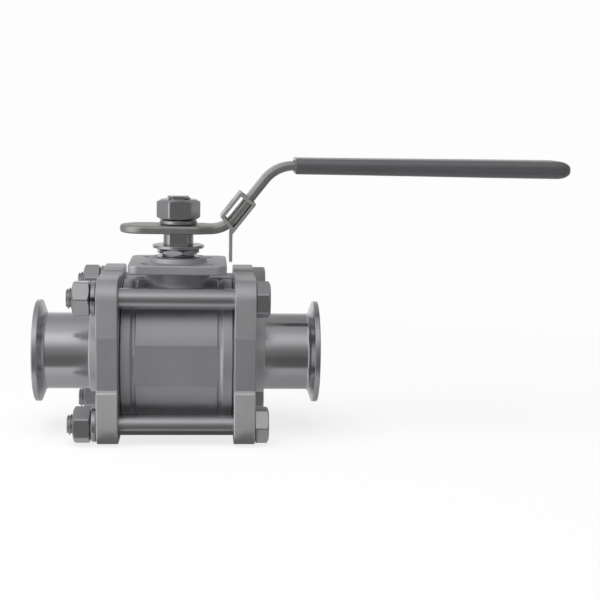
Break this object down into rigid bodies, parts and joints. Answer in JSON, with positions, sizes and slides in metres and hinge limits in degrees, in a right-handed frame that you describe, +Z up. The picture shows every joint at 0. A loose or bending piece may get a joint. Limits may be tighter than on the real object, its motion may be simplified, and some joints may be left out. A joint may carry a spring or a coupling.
{
  "type": "three-piece ball valve",
  "caption": "Bolted ball valve with clamp ferrule ends, a bored ball on soft seats, a mounting pad, a bent lever with a sleeve grip and a sliding lock latch.",
  "frame": {"origin": "on the floor plane under the end-cap flanges, at the middle of the overall length and width", "axes": "+X along the pipe towards the grip's end, +Y away from the picture's camera, +Z up along the stem"},
  "size_m": [0.2636, 0.08, 0.1376],
  "materials": {
    "cast_steel": "bead-blasted cast stainless steel",
    "end_steel": "blasted flange with polished tube and ferrule",
    "ball_steel": "mirror polished",
    "lever_steel": "satin, tumbled edges",
    "bolt_steel": "bright machined",
    "seal": "white smooth",
    "vinyl": "soft grey sleeve, faint sheen"
  },
  "bodies": {
    "valve_body": {"centre_body": "cast_steel", "left_end_cap": "end_steel", "right_end_cap": "end_steel", "left_seat": "seal", "right_seat": "seal", "left_body_seal": "seal", "right_body_seal": "seal", "thrust_washer": "seal", "packing_ring_1": "seal", "packing_ring_2": "seal", "packing_ring_3": "seal", "packing_gland": "bolt_steel", "body_bolt_1": "bolt_steel", "body_bolt_2": "bolt_steel", "body_bolt_3": "bolt_steel", "body_bolt_4": "bolt_steel", "bolt_lock_washer_1": "bolt_steel", "bolt_lock_washer_2": "bolt_steel", "bolt_lock_washer_3": "bolt_steel", "bolt_lock_washer_4": "bolt_steel", "body_nut_1": "bolt_steel", "body_nut_2": "bolt_steel", "body_nut_3": "bolt_steel", "body_nut_4": "bolt_steel"},
    "valve_ball": {"ball": "ball_steel"},
    "lever_and_stem": {"stem": "lever_steel", "disc_spring_1": "bolt_steel", "disc_spring_2": "bolt_steel", "gland_nut": "bolt_steel", "tab_washer": "bolt_steel", "lever": "lever_steel", "lever_lock_washer": "bolt_steel", "stem_nut": "bolt_steel", "lever_grip": "vinyl"},
    "latch": {"lock_latch": "lever_steel"}
  },
  "joints": [
    {"name": "lever_turn", "type": "hinge", "parent": "valve_body", "child": "lever_and_stem", "pos_m": [-0.06198, 0, 0.09952], "axis": [0, 0, 1], "range_deg": [-90, 0]},
    {"name": "ball_turn", "type": "hinge", "parent": "valve_body", "child": "valve_ball", "pos_m": [-0.06198, 0, 0.04002], "axis": [0, 0, 1], "range_deg": [-90, 0]},
    {"name": "latch_slide", "type": "slide", "parent": "lever_and_stem", "child": "latch", "axis": [0.6157, 0, 0.788], "range_m": [-0.0015, 0.01]}
  ],
  "couplings": [
    {"joint": "ball_turn", "follows": "lever_turn", "ratio": 1}
  ]
}
